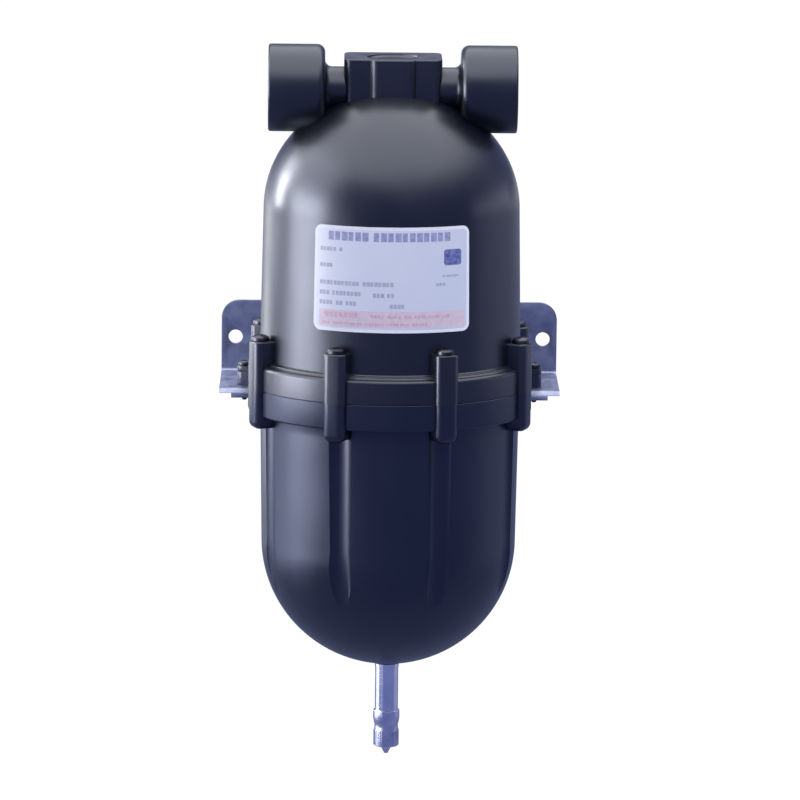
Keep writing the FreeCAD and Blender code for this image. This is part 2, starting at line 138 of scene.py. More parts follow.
def make_active(*pieces):
    """Selects these pieces alone, with the first as the active one."""
    start_fresh()
    for piece in pieces:
        piece.select_set(True)
    bpy.context.view_layer.objects.active = pieces[0]


def quarter(start, corner, end, steps=6):
    """Points on a quarter ellipse from start to end, rounding a corner."""
    points = []
    for i in range(steps + 1):
        t = pi / 2 * i / steps
        u, v = 1 - sin(t), 1 - cos(t)
        points.append(tuple(corner[k] + (start[k] - corner[k]) * u + (end[k] - corner[k]) * v
                            for k in (0, 1)))
    return points


def spread(start, end, steps):
    """Even steps from one outline point to another, without the first."""
    return [tuple(start[k] + (end[k] - start[k]) * i / steps for k in (0, 1))
            for i in range(1, steps + 1)]


def dome_arc(radius, foot_z, height, way_r, steps, inside=False):
    """Half-ellipse up to the hole in a dome's crown, or from the hole down on the inside."""
    last = acos(way_r / radius)
    if inside:
        turns = [last * (1 - i / steps) for i in range(steps + 1)]
    else:
        turns = [last * i / steps for i in range(1, steps + 1)]
    return [(radius * cos(t), foot_z + height * sin(t)) for t in turns]


def both_ways(half):
    """A half outline of (radius, distance) with its mirror image before it."""
    return [(radius, -distance) for radius, distance in reversed(half)] + half


def turn_rings(name, outline, around=around_tank, hollow=False):
    """Ring by ring, extrudes a circle along an outline of (radius, height) about the Z axis."""
    start_fresh()
    radius, height = outline[0]
    bpy.ops.mesh.primitive_circle_add(vertices=around, radius=radius)
    piece = bpy.context.object
    piece.name = name
    bpy.ops.object.mode_set(mode="EDIT")
    bpy.ops.transform.translate(value=(0, 0, height))
    if not hollow:
        bpy.ops.mesh.edge_face_add()
        bpy.ops.mesh.select_all(action="SELECT")
    for new_radius, new_height in outline[1:]:
        rise = (0, 0, new_height - height)
        bpy.ops.mesh.extrude_region_move(TRANSFORM_OT_translate={"value": rise})
        scale = new_radius / radius
        bpy.ops.transform.resize(value=(scale, scale, 1), center_override=(0, 0, new_height))
        radius, height = new_radius, new_height
    if hollow:
        bpy.ops.mesh.select_all(action="DESELECT")
        bpy.ops.mesh.select_non_manifold()
        bpy.ops.mesh.bridge_edge_loops()
    bpy.ops.mesh.select_all(action="SELECT")
    bpy.ops.mesh.normals_make_consistent(inside=False)
    bpy.ops.object.mode_set(mode="OBJECT")
    return piece


def apply_modifier(piece, kind, **settings):
    make_active(piece)
    modifier = piece.modifiers.new(kind.title(), kind)
    for key, value in settings.items():
        setattr(modifier, key, value)
    bpy.ops.object.modifier_apply(modifier=modifier.name)


def combine(piece, tool, operation):
    """Joins a tool to a piece, or cuts it away, and removes the tool."""
    apply_modifier(piece, "BOOLEAN", operation=operation, solver="EXACT", object=tool)
    bpy.data.objects.remove(tool)


def settle(piece, turn=None, place=None):
    """Turns and moves a piece, and leaves its object at the origin."""
    make_active(piece)
    if turn:
        piece.rotation_euler = [radians(a) for a in turn]
    if place is not None:
        piece.location = place
    bpy.ops.object.transform_apply(location=True, rotation=True, scale=True)


def select_parts(piece, kind, wanted):
    """Selects, in edit mode, the vertices, edges or faces that satisfy the test."""
    make_active(piece)
    bpy.ops.object.mode_set(mode="EDIT")
    bpy.ops.mesh.select_all(action="DESELECT")
    bpy.ops.mesh.select_mode(type=kind)
    bpy.ops.object.mode_set(mode="OBJECT")
    mesh = piece.data
    for part in {"VERT": mesh.vertices, "EDGE": mesh.edges, "FACE": mesh.polygons}[kind]:
        part.select = wanted(part)
    bpy.ops.object.mode_set(mode="EDIT")


def select_edges(piece, wanted):
    """Selects, in edit mode, the edges whose two ends satisfy the test."""
    def ends_pass(edge):
        return wanted(*(piece.data.vertices[i].co for i in edge.vertices))

    select_parts(piece, "EDGE", ends_pass)


def bevel_edges(piece, wanted, offset, segments):
    select_edges(piece, wanted)
    bpy.ops.mesh.bevel(offset=offset, segments=segments, profile=0.5)
    bpy.ops.object.mode_set(mode="OBJECT")


def upright(a, b):
    """Test for an edge that stands up, by its two ends."""
    return abs(a.z - b.z) > 1 * mm


def make_block(name, low, high):
    start_fresh()
    size = [b - a for a, b in zip(low, high)]
    middle = [(a + b) / 2 for a, b in zip(low, high)]
    bpy.ops.mesh.primitive_cube_add(size=1, location=middle, scale=size)
    piece = bpy.context.object
    piece.name = name
    bpy.ops.object.transform_apply(location=True, rotation=True, scale=True)
    return piece


def make_rod(radius, low, high, sides, ring=0):
    """Round rod along Z, on the tank's axis or at the ring's radius from it."""
    start_fresh()
    bpy.ops.mesh.primitive_cylinder_add(vertices=sides, radius=radius, depth=high - low,
                                        location=(ring, 0, (low + high) / 2))
    bpy.ops.object.transform_apply(location=True)
    return bpy.context.object


def copy_piece(piece):
    extra = piece.copy()
    extra.data = piece.data.copy()
    bpy.context.scene.collection.objects.link(extra)
    return extra


def repeat_round(piece, angles):
    """Copies of a piece built along +X, turned to angles from the front, as one object."""
    copies = []
    for angle in angles:
        extra = copy_piece(piece)
        extra.rotation_euler = (0, 0, radians(angle - 90))
        copies.append(extra)
    bpy.data.objects.remove(piece)
    make_active(*copies)
    bpy.ops.object.transform_apply(location=True, rotation=True, scale=True)
    bpy.ops.object.join()
    return bpy.context.object


def moulded_lug(low, high, width, end_z, end_edge):
    """Screw lug along +X with rounded outer corners and a rounded free end."""
    piece = make_block("lug", (lug_root_r, -width / 2, low), (lug_r, width / 2, high))
    near_root = lug_root_r + 1 * mm
    bevel_edges(piece, lambda a, b: upright(a, b) and min(a.x, b.x) > near_root, lug_corner, 6)
    bevel_edges(piece, lambda a, b: abs(a.z - end_z) < touch and abs(b.z - end_z) < touch
                and max(a.x, b.x) > near_root, end_edge, 4)
    return repeat_round(piece, lug_angles)


def moulded_ears(low, high):
    """Bosses beside the rear side lugs, for the bracket's screws."""
    ear = make_rod(ear_r, low, high, 40, ear_ring_r)
    bevel_edges(ear, lambda a, b: abs(a.z - b.z) < touch, ear_edge, 2)
    web = make_block("web", (screw_ring_r, -ear_r, low), (ear_ring_r, ear_r, high))
    combine(ear, web, "UNION")
    return repeat_round(ear, ear_angles)


def drill_round(radius, low, high, ring, angles):
    return repeat_round(make_rod(radius, low, high, 32, ring), angles)


def give_material(piece, material):
    piece.data.materials.clear()
    piece.data.materials.append(material)


def finish_piece(piece, material, node, body="tank", angle=30):
    """Smooths a finished piece, gives it its material and hands it to the frame."""
    make_active(piece)
    bpy.ops.object.shade_smooth_by_angle(angle=radians(angle))
    give_material(piece, material)
    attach(piece, body)
    if node:
        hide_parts(node)


def new_material(name):
    material = bpy.data.materials.new(name)
    material.use_nodes = True
    tree = material.node_tree
    return material, tree, tree.nodes["Principled BSDF"]


def add_noise(tree, scale, detail, stretch=(1, 1, 1)):
    """Noise on the piece's own coordinates, which are in metres."""
    place = tree.nodes.new("ShaderNodeTexCoord")
    mapping = tree.nodes.new("ShaderNodeMapping")
    noise = tree.nodes.new("ShaderNodeTexNoise")
    noise.inputs["Scale"].default_value = scale
    noise.inputs["Detail"].default_value = detail
    mapping.inputs["Scale"].default_value = stretch
    tree.links.new(place.outputs["Object"], mapping.inputs["Vector"])
    tree.links.new(mapping.outputs["Vector"], noise.inputs["Vector"])
    return noise.outputs["Fac"]


def add_range(tree, value, low, high, from_low=0.3, from_high=0.7):
    """Spreads a value over a new range, by default from the usual range of a noise."""
    node = tree.nodes.new("ShaderNodeMapRange")
    node.inputs["From Min"].default_value = from_low
    node.inputs["From Max"].default_value = from_high
    node.inputs["To Min"].default_value = low
    node.inputs["To Max"].default_value = high
    tree.links.new(value, node.inputs["Value"])
    return node.outputs["Result"]


def add_mix(tree, value, colour_a, colour_b):
    node = tree.nodes.new("ShaderNodeMix")
    node.data_type = "RGBA"
    node.inputs["A"].default_value = (*colour_a, 1)
    node.inputs["B"].default_value = (*colour_b, 1)
    tree.links.new(value, node.inputs["Factor"])
    return node.outputs["Result"]


def add_bump(tree, height, distance, strength, below=None):
    """Bumps of a depth in metres, on top of the bumps below."""
    node = tree.nodes.new("ShaderNodeBump")
    node.inputs["Distance"].default_value = distance
    node.inputs["Strength"].default_value = strength
    tree.links.new(height, node.inputs["Height"])
    if below is not None:
        tree.links.new(below, node.inputs["Normal"])
    return node.outputs["Normal"]


def set_surface(tree, shader, colour, roughness, normal):
    for name, value in (("Base Color", colour), ("Roughness", roughness), ("Normal", normal)):
        tree.links.new(value, shader.inputs[name])


def moulded_plastic(name, dark, light, tint):
    """Satin-gloss moulded plastic: faint flow marks, fine grain and slight waviness."""
    material, tree, shader = new_material(name)
    flow = add_noise(tree, 55, 5.0, (1, 1, 0.45))
    grain = add_noise(tree, 2600, 2.0)
    pits = add_noise(tree, 900, 3.0)
    wave = add_noise(tree, 38, 2.0)
    shader.inputs["Specular IOR Level"].default_value = 0.9
    # The tint colours every reflection on the plastic bluish: painted light, standing in for bluish
    # lamps.
    shader.inputs["Specular Tint"].default_value = (*tint, 1)
    wavy = add_bump(tree, wave, 0.35 * mm, 0.5)
    pitted = add_bump(tree, pits, 0.02 * mm, 0.6, wavy)
    grained = add_bump(tree, grain, 0.008 * mm, 0.7, pitted)
    set_surface(tree, shader, add_mix(tree, add_range(tree, flow, 0, 1), dark, light),
                add_range(tree, flow, 0.29, 0.39), grained)
    return material


upper_plastic = moulded_plastic("upper shell plastic", (0.0018, 0.0026, 0.006),
                                (0.0032, 0.0042, 0.009), (0.78, 0.83, 1))

inner_dome_r = upper_dome_r - wall
inner_dome_h = dome_h - crown_wall
bead_top = upper_ring_h + bead_h
upper_outline = [(seat_r, 0), (ring_r - seam_edge, 0), (ring_r, seam_edge)]
upper_outline += quarter((ring_r, upper_ring_h - ring_edge), (ring_r, upper_ring_h),
                         (ring_r - ring_edge, upper_ring_h))
upper_outline += [(bead_r + bead_edge, upper_ring_h)]
upper_outline += quarter((bead_r, upper_ring_h + bead_edge), (bead_r, bead_top),
                         (bead_r - bead_edge, bead_top), 4)
upper_outline += [(upper_foot_r + foot_edge, bead_top), (upper_foot_r, bead_top + foot_edge)]
upper_outline += spread(upper_outline[-1], (upper_dome_r, upper_dome_z), wall_rings)
upper_outline += dome_arc(upper_dome_r, upper_dome_z, dome_h, tank_way_r, dome_rings)
upper_outline += dome_arc(inner_dome_r, upper_dome_z, inner_dome_h, tank_way_r,
                          dome_rings // 2, inside=True)
upper_outline += spread(upper_outline[-1], (upper_foot_r - wall, seat_h), wall_rings // 2)
upper_outline += [(seat_r, seat_h)]
upper_shell = turn_rings("upper_shell_moulding", upper_outline, hollow=True)

combine(upper_shell, moulded_lug(0, upper_lug_h, lug_w, upper_lug_h, upper_lug_edge), "UNION")
combine(upper_shell, moulded_ears(0, ear_top), "UNION")

# The pipe: both ports and the neck between them, turned about the port axis.
half_pipe = quarter((neck_r, port_inner_x - neck_fillet), (neck_r, port_inner_x),
                    (neck_r + neck_fillet, port_inner_x))
half_pipe += quarter((port_r - port_back_edge, port_inner_x), (port_r, port_inner_x),
                     (port_r, port_inner_x + port_back_edge), 8)
half_pipe += quarter((port_r, port_outer_x - port_edge), (port_r, port_outer_x),
                     (port_r - port_edge, port_outer_x), 4)
half_pipe += [(port_bore_r, port_outer_x)]
pipe = turn_rings("pipe", both_ways(half_pipe), 128)
settle(pipe, (0, 90, 0), (0, 0, port_z))
combine(upper_shell, pipe, "UNION")

# The boss is a rounded block with a raised pad on its front.
boss_low = upper_dome_z + inner_dome_h + boss_clear
boss = make_block("boss", (-boss_side, -boss_front, boss_low), (boss_side, boss_back, boss_top))
bevel_edges(boss, upright, boss_corner, 8)
pad_y = -boss_front - pad_out
pad = make_block("pad", (-pad_side, pad_y, boss_low), (pad_side, 0, boss_top))
bevel_edges(pad, lambda a, b: upright(a, b) and a.y < pad_y + touch, pad_corner, 10)
combine(boss, pad, "UNION")
make_active(boss)
bpy.ops.object.mode_set(mode="EDIT")
bpy.ops.mesh.select_all(action="SELECT")
bpy.ops.mesh.remove_doubles(threshold=touch)
bpy.ops.mesh.dissolve_limited(angle_limit=radians(1))
bpy.ops.object.mode_set(mode="OBJECT")
bevel_edges(boss, lambda a, b: min(a.z, b.z) > boss_top - touch, boss_rim, 4)
combine(upper_shell, boss, "UNION")

dish_low = boss_top - dish_depth
dish_outline = quarter((dish_r - dish_slope, dish_low), (dish_r, dish_low), (dish_r, boss_top), 6)
dish_outline += [(dish_r + dish_flare, boss_top + 0.3 * mm),
                 (dish_r + dish_flare, boss_top + 2 * past)]
dish = turn_rings("dish", dish_outline, 96)
combine(upper_shell, dish, "DIFFERENCE")

bore_floor_x = port_outer_x - port_bore_depth
half_bore = [(water_way_r, bore_floor_x - port_bore_cone), (port_bore_r, bore_floor_x),
             (port_bore_r, port_outer_x - port_bore_edge),
             (port_bore_r + port_bore_edge, port_outer_x),
             (port_bore_r + port_bore_edge, port_outer_x + 2 * past)]
bore = turn_rings("bore", both_ways(half_bore), 96)
settle(bore, (0, 90, 0), (0, 0, port_z))
combine(upper_shell, bore, "DIFFERENCE")

tank_way = make_rod(tank_way_r, upper_dome_z + inner_dome_h - 3 * past, port_z, 64)
combine(upper_shell, tank_way, "DIFFERENCE")
screw_holes = drill_round(screw_hole_r, -past, upper_lug_h + past, screw_ring_r, lug_angles)
combine(upper_shell, screw_holes, "DIFFERENCE")
upper_ear_holes = drill_round(ear_hole_r, -past, ear_top + past, ear_ring_r, ear_angles)
combine(upper_shell, upper_ear_holes, "DIFFERENCE")
settle(upper_shell, place=tank_place)
finish_piece(upper_shell, upper_plastic, "upper_shell")


# Pipe threads
# The half-inch female thread moulded inside each port, fourteen turns to the inch.
# One V-shaped ridge is wound along the bore, its root sunk just under the wall.
thread_pitch = 25.4 / 14 * mm
thread_turns = 6
thread_depth = 0.9 * mm
thread_sink = 0.15 * mm
thread_foot = 0.42
thread_low = port_outer_x - 13.3 * mm
same_point = 1e-7


def wind_round(name, points, pitch, turns, around):
    """Closed form wound round the Z axis from a small outline of (radius, height) points."""
    start_fresh()
    bpy.ops.mesh.primitive_circle_add(vertices=len(points))
    winding = bpy.context.object
    winding.name = name
    for vertex, (radius, height) in zip(winding.data.vertices, points):
        vertex.co = (radius, 0, height)
    apply_modifier(winding, "SCREW", axis="Z", screw_offset=pitch, iterations=turns,
                   steps=around, render_steps=around, use_merge_vertices=False)
    bpy.ops.object.mode_set(mode="EDIT")
    bpy.ops.mesh.select_mode(type="VERT")
    bpy.ops.mesh.select_all(action="SELECT")
    bpy.ops.mesh.remove_doubles(threshold=same_point)
    bpy.ops.mesh.select_all(action="DESELECT")
    bpy.ops.mesh.select_non_manifold()
    bpy.ops.mesh.fill()
    bpy.ops.mesh.select_all(action="SELECT")
    bpy.ops.mesh.normals_make_consistent(inside=False)
    bpy.ops.object.mode_set(mode="OBJECT")
    return winding


def wind_ridge(name, root_r, crest_r, pitch, turns, low, around):
    """V ridge of a screw thread, from its root radius to its crest."""
    half = pitch * thread_foot
    points = ((root_r, low - half), (crest_r, low), (root_r, low + half))
    return wind_round(name, points, pitch, turns, around)


for side, turn in (("right", 90), ("left", -90)):
    ridge = wind_ridge("port_thread_" + side, port_bore_r + thread_sink, port_bore_r - thread_depth,
                       thread_pitch, thread_turns, thread_low, 64)
    settle(ridge, (0, turn, 0), tank_place + Vector((0, 0, port_z)))
    finish_piece(ridge, upper_plastic, None)


# Lower shell
# The bottom half of the tank, of the same plastic but bluer in colour and in its reflections, which
# is painted light for the bluer light on the lower half. Its lugs take the screws' threads, and
# under each lug a shallow flute runs down the wall so that a driver and a mould pin can pass.
lower_ring_h = 8.7 * mm
lower_ring_edge = 0.6 * mm
lower_foot_edge = 0.5 * mm
lower_foot_r = 42.8 * mm
lower_dome_r = 42.15 * mm
lower_dome_z = 52.5 * mm
lower_dome_h = 41.9 * mm
flute_r = 5.4 * mm
flute_bend_z = 50.0 * mm
flute_tilt = 5.5
flute_tail = 44 * mm
lower_lug_w = 7.4 * mm
lower_lug_h = 12.8 * mm
lower_lug_edge = 2.6 * mm
screw_bore_r = 1.95 * mm
screw_bore_low = -9.6 * mm
lower_ear_h = 4.55 * mm
stem_hole_r = 3.935 * mm
stem_pad_r = 4.8 * mm
stem_pad_z = -94.75 * mm
stem_boss_r = 9.0 * mm
stem_boss_z = -86.2 * mm

# Bluer base colour and bluer reflections than the upper shell: painted light for the bluer light on
# the lower half.
lower_plastic = moulded_plastic("lower shell plastic", (0.0018, 0.0030, 0.009),
                                (0.0032, 0.0050, 0.014), (0.66, 0.72, 1))

lower_outline = [(seat_r, 0), (ring_r - seam_edge, 0), (ring_r, -seam_edge)]
lower_outline += quarter((ring_r, -lower_ring_h + lower_ring_edge), (ring_r, -lower_ring_h),
                         (ring_r - lower_ring_edge, -lower_ring_h), 4)
lower_outline += quarter((lower_foot_r + lower_foot_edge, -lower_ring_h),
                         (lower_foot_r, -lower_ring_h),
                         (lower_foot_r, -lower_ring_h - lower_foot_edge), 3)
lower_outline += spread(lower_outline[-1], (lower_dome_r, -lower_dome_z), wall_rings)
lower_outline += dome_arc(lower_dome_r, -lower_dome_z, -lower_dome_h, stem_pad_r, dome_rings)
lower_outline += [(stem_pad_r - 0.15 * mm, stem_pad_z + 0.1 * mm),
                  (stem_pad_r - 0.3 * mm, stem_pad_z), (stem_hole_r, stem_pad_z),
                  (stem_hole_r, stem_boss_z), (stem_boss_r, stem_boss_z)]
lower_outline += dome_arc(lower_dome_r - wall, -lower_dome_z, crown_wall - lower_dome_h,
                          stem_boss_r, dome_rings // 2, inside=True)
lower_outline += spread(lower_outline[-1], (lower_foot_r - wall, -seat_h), wall_rings // 2)
lower_outline += [(seat_r, -seat_h)]
lower_shell = turn_rings("lower_shell_moulding", lower_outline, hollow=True)

# Each flute runs straight down and then leans in, so that it dies out on the dome.
start_fresh()
bpy.ops.mesh.primitive_circle_add(vertices=72, radius=flute_r, fill_type="NGON",
                                  location=(screw_ring_r, 0, -lower_ring_h))
flute = bpy.context.object
bpy.ops.object.transform_apply(location=True)
bpy.ops.object.mode_set(mode="EDIT")
bpy.ops.mesh.select_all(action="SELECT")
down = (0, 0, lower_ring_h - flute_bend_z)
bpy.ops.mesh.extrude_region_move(TRANSFORM_OT_translate={"value": down})
down_and_in = (-flute_tail * tan(radians(flute_tilt)), 0, -flute_tail)
bpy.ops.mesh.extrude_region_move(TRANSFORM_OT_translate={"value": down_and_in})
bpy.ops.mesh.select_all(action="SELECT")
bpy.ops.mesh.normals_make_consistent(inside=False)
bpy.ops.object.mode_set(mode="OBJECT")
combine(lower_shell, repeat_round(flute, lug_angles), "DIFFERENCE")
lower_lugs = moulded_lug(-lower_lug_h, 0, lower_lug_w, -lower_lug_h, lower_lug_edge)
combine(lower_shell, lower_lugs, "UNION")
combine(lower_shell, moulded_ears(-lower_ear_h, 0), "UNION")
screw_bores = drill_round(screw_bore_r, screw_bore_low, past, screw_ring_r, lug_angles)
combine(lower_shell, screw_bores, "DIFFERENCE")
lower_ear_holes = drill_round(ear_hole_r, -lower_ear_h - past, past, ear_ring_r, ear_angles)
combine(lower_shell, lower_ear_holes, "DIFFERENCE")
settle(lower_shell, place=tank_place)
finish_piece(lower_shell, lower_plastic, "lower_shell")


# Clamp screws
# Eight black pan-head screws, driven from above through the lugs, with a cross recess.
# Each copy has its own mesh and rides where its lug is.
screw_r = 1.9 * mm
screw_head_r = 2.9 * mm
screw_head_h = 1.9 * mm
screw_low = -8.6 * mm


def worn_steel(name, dark, light, metal=1.0, rough=(0.28, 0.45)):
    """Plated or blackened steel with fine scratches and uneven sheen."""
    material, tree, shader = new_material(name)
    cloud = add_noise(tree, 240, 5.0)
    scratch = add_noise(tree, 500, 3.0, (1, 1, 9))
    set_surface(tree, shader, add_mix(tree, add_range(tree, cloud, 0, 1), dark, light),
                add_range(tree, scratch, *rough), add_bump(tree, scratch, 0.01 * mm, 0.5))
    shader.inputs["Metallic"].default_value = metal
    return material


screw_steel = worn_steel("black oxide steel", (0.035, 0.036, 0.045), (0.10, 0.10, 0.12))


def pan_screw(name, shank_r, low, seat, head_r, head_h):
    """Pan-head screw with its seat at a height, turned and then given a cross recess."""
    top = seat + head_h
    shape = [(shank_r * 0.4, low), (shank_r, low + shank_r), (shank_r, seat),
             (head_r - 0.1 * mm, seat), (head_r, seat + 0.1 * mm)]
    shape += quarter((head_r, seat + head_h * 0.45), (head_r, top), (head_r * 0.35, top), 8)
    screw = turn_rings(name, shape, 48)
    arm, half, deep = head_r * 0.6, head_r * 0.13, top - head_h * 0.55
    for size in ((arm, half), (half, arm)):
        cross = make_block("cross", (-size[0], -size[1], deep), (size[0], size[1], top + past))
        combine(screw, cross, "DIFFERENCE")
    return screw


def place_round(piece, name, ring, angle):
    """A copy of a piece with its own mesh, set on a ring about the tank's axis."""
    extra = copy_piece(piece)
    extra.name = name
    turn = Matrix.Rotation(radians(angle - 90), 4, "Z")
    extra.data.transform(Matrix.Translation(tank_place) @ turn @ Matrix.Translation((ring, 0, 0)))
    return extra


screw = pan_screw("screw", screw_r, screw_low, upper_lug_h, screw_head_r, screw_head_h)
for i, angle in enumerate(lug_angles):
    number = str(i + 1)
    copy = place_round(screw, "lug_screw_" + number, screw_ring_r, angle)
    finish_piece(copy, screw_steel, "clamp_screw_" + number)
bpy.data.objects.remove(screw)


# Wall bracket
# One sheet of plated steel: an upright plate with two wall holes, folded forward into a shelf
# that is cut out round the tank, its two front edges turned down. Dull blue-grey.
sheet_t = 1.5 * mm
fold_r = 1.2 * mm
bracket_w = 113.5 * mm
wall_y = -axis_y
plate_top = 19.6 * mm
plate_corner = 6.0 * mm
shelf_low = -6.1 * mm
lip_back = 12.5 * mm
lip_low = -7.6 * mm
lip_trim = 4.0 * mm
sheet_edge = 0.18 * mm
ring_gap = 0.4 * mm
cut_low = -17 * mm
cut_high = 3 * mm
wall_hole_r = 2.4 * mm
wall_hole_x = 52.0 * mm
wall_hole_z = 7.1 * mm

outer_fold = fold_r + sheet_t
plate_low = shelf_low + outer_fold
fold_y = wall_y - outer_fold
lip_y = lip_back + fold_r


def upright_plane(name, width, height, place):
    """Flat plane that stands across the Y axis."""
    start_fresh()
    bpy.ops.mesh.primitive_plane_add(size=1)
    plane = bpy.context.object
    plane.name = name
    plane.scale = (width, height, 1)
    plane.rotation_euler = (radians(90), 0, 0)
    plane.location = place
    bpy.ops.object.transform_apply(location=True, rotation=True, scale=True)
    return plane


bracket = upright_plane("bracket_sheet", bracket_w, plate_top - plate_low,
                        (0, wall_y, (plate_top + plate_low) / 2))
select_parts(bracket, "VERT", lambda vertex: vertex.co.z > plate_top - touch)
bpy.ops.mesh.bevel(offset=plate_corner, segments=10, affect="VERTICES")
bpy.ops.object.mode_set(mode="OBJECT")

select_edges(bracket, lambda a, b: max(a.z, b.z) < plate_low + touch)
bpy.ops.mesh.spin(steps=8, angle=pi / 2, center=(0, fold_y, plate_low), axis=(1, 0, 0))
bpy.ops.mesh.extrude_region_move(TRANSFORM_OT_translate={"value": (0, lip_y - fold_y, 0)})
bpy.ops.mesh.spin(steps=6, angle=-pi / 2, center=(0, lip_y, shelf_low - fold_r), axis=(1, 0, 0))
lip_drop = (0, 0, lip_low - shelf_low + fold_r)
bpy.ops.mesh.extrude_region_move(TRANSFORM_OT_translate={"value": lip_drop})
bpy.ops.mesh.select_all(action="SELECT")
bpy.ops.mesh.remove_doubles(threshold=touch)
bpy.ops.mesh.normals_make_consistent(inside=False)
bpy.ops.object.mode_set(mode="OBJECT")
back = max(bracket.data.polygons, key=lambda face: face.center.z)
apply_modifier(bracket, "SOLIDIFY", thickness=sheet_t, offset=-1 if back.normal.y > 0 else 1,
               use_even_offset=True)

combine(bracket, make_rod(ring_r + ring_gap, cut_low, cut_high, around_tank), "DIFFERENCE")
notch_side = lug_w / 2 + ring_gap
notch = make_block("notch", (20 * mm, -notch_side, cut_low),
                   (lug_r + ring_gap, notch_side, cut_high))
combine(bracket, repeat_round(notch, lug_angles), "DIFFERENCE")
combine(bracket, drill_round(ear_hole_r, cut_low, 0, ear_ring_r, ear_angles), "DIFFERENCE")
for side in (1, -1):
    edge_x = bracket_w / 2 - lip_trim
    ends = sorted((side * edge_x, side * (edge_x + lip_trim + past)))
    trim = make_block("trim", (ends[0], -past, lip_low - past), (ends[1], lip_y, shelf_low))
    combine(bracket, trim, "DIFFERENCE")
    start_fresh()
    bpy.ops.mesh.primitive_cylinder_add(vertices=48, radius=wall_hole_r, depth=10 * mm,
                                        rotation=(radians(90), 0, 0),
                                        location=(side * wall_hole_x, wall_y, wall_hole_z))
    combine(bracket, bpy.context.object, "DIFFERENCE")
apply_modifier(bracket, "BEVEL", width=sheet_edge, segments=2, limit_method="ANGLE",
               angle_limit=radians(50))
settle(bracket, place=tank_place)

bracket_steel = worn_steel("plated bracket steel", (0.21, 0.235, 0.35), (0.34, 0.365, 0.51),
                           0.85, (0.30, 0.48))
finish_piece(bracket, bracket_steel, "wall_bracket")


# Bracket screws and nuts
# A small black screw stands in each ear beside the side lugs, and its blackened nut is under
# the bracket's shelf. The two hold the tank on the bracket.
bracket_screw_r = 1.5 * mm
bracket_screw_low = -9.7 * mm
bracket_head_r = 2.1 * mm
bracket_head_h = 1.6 * mm
bracket_screw = pan_screw("screw", bracket_screw_r, bracket_screw_low, ear_top, bracket_head_r,
                          bracket_head_h)
dark_steel = worn_steel("dark steel", (0.05, 0.05, 0.06), (0.14, 0.14, 0.16))
for side, angle in zip(("right", "left"), ear_angles):
    copy = place_round(bracket_screw, "ear_screw_" + side, ear_ring_r, angle)
    finish_piece(copy, screw_steel, "bracket_screw_" + side)
    give_material(nodes["bracket_nut_" + side], dark_steel)
bpy.data.objects.remove(bracket_screw)


# Air valve stem
# A nickel-plated stem stands out of the lower shell, held by its flange inside. Its free end
# has the cap's thread, and a plated ring locks it against the shell.
stem_r = 3.875 * mm
stem_flange_r = 6.5 * mm
stem_flange_z = -85.0 * mm
stem_top = -83.5 * mm
cap_rim_z = -110.75 * mm
stem_end_z = -115.75 * mm
stem_thread_r = 3.35 * mm
stem_root_r = 3.1 * mm
stem_thread_turns = 5
stem_thread_low = stem_end_z + 0.5 * mm
stem_thread_sink = 0.05 * mm
stem_end_edge = 0.3 * mm
shoulder_edge = 0.2 * mm
cap_pitch = 25.4 / 32 * mm
core_bore_r = 2.6 * mm
core_seat_z = -109.15 * mm
core_way_r = 2.1 * mm
core_way_z = -98.75 * mm
core_way_cone = 0.9 * mm
air_way_r = 1.2 * mm


def nickel_plate(name, dark, light, rough):
    """Bright plating with faint turning lines round the stem."""
    material, tree, shader = new_material(name)
    cloud = add_noise(tree, 160, 3.0)
    lines = add_noise(tree, 220, 2.0, (1, 1, 30))
    set_surface(tree, shader, add_mix(tree, add_range(tree, cloud, 0, 1), dark, light),
                add_range(tree, lines, *rough), add_bump(tree, lines, 0.006 * mm, 0.6))
    shader.inputs["Metallic"].default_value = 1.0
    return material


# The blue tint in the plating's colour is a painted reflection of the blue room round the stem.
stem_nickel = nickel_plate("nickel stem", (0.66, 0.67, 0.82), (0.78, 0.79, 0.92), (0.12, 0.24))
shoulder_low = cap_rim_z - shoulder_edge / 2
stem_outline = [(core_bore_r, stem_end_z), (stem_root_r - stem_end_edge, stem_end_z),
                (stem_root_r, stem_end_z + stem_end_edge), (stem_root_r, shoulder_low),
                (stem_r - shoulder_edge, shoulder_low), (stem_r, cap_rim_z + shoulder_edge / 2)]
stem_outline += spread(stem_outline[-1], (stem_r, stem_flange_z), 10)
stem_outline += [(stem_flange_r, stem_flange_z), (stem_flange_r, stem_top), (air_way_r, stem_top),
                 (air_way_r, core_way_z + core_way_cone), (core_way_r, core_way_z),
                 (core_way_r, core_seat_z), (core_bore_r, core_seat_z)]
stem = turn_rings("stem_body", stem_outline, 96, hollow=True)
settle(stem, place=tank_place)
finish_piece(stem, stem_nickel, "valve_stem")
ridge = wind_ridge("stem_thread", stem_root_r - stem_thread_sink, stem_thread_r, cap_pitch,
                   stem_thread_turns, stem_thread_low, 48)
settle(ridge, place=tank_place)
finish_piece(ridge, stem_nickel, None)
give_material(nodes["stem_lock_ring"], stem_nickel)


# Valve cap
# A nickel-plated screw cap: a rolled rim, a waist, a straight-knurled grip and a slotted
# tip that undoes the valve's core. It turns on the stem's thread.
cap_l = 15.0 * mm
cap_bore_r = 3.42 * mm
cap_floor = 5.95 * mm
cap_rim_r = 4.4 * mm
cap_waist_r = 3.95 * mm
cap_grip_r = 4.25 * mm
cap_tip_r = 0.9 * mm
cap_grip_root = cap_grip_r - 0.15 * mm
knurls = 36
knurl_gap = 0.05 * mm
slot_side = 0.4 * mm


def below_rim(depth):
    """Height of a point on the cap, by its depth below the rim in millimetres."""
    return cap_rim_z - depth * mm


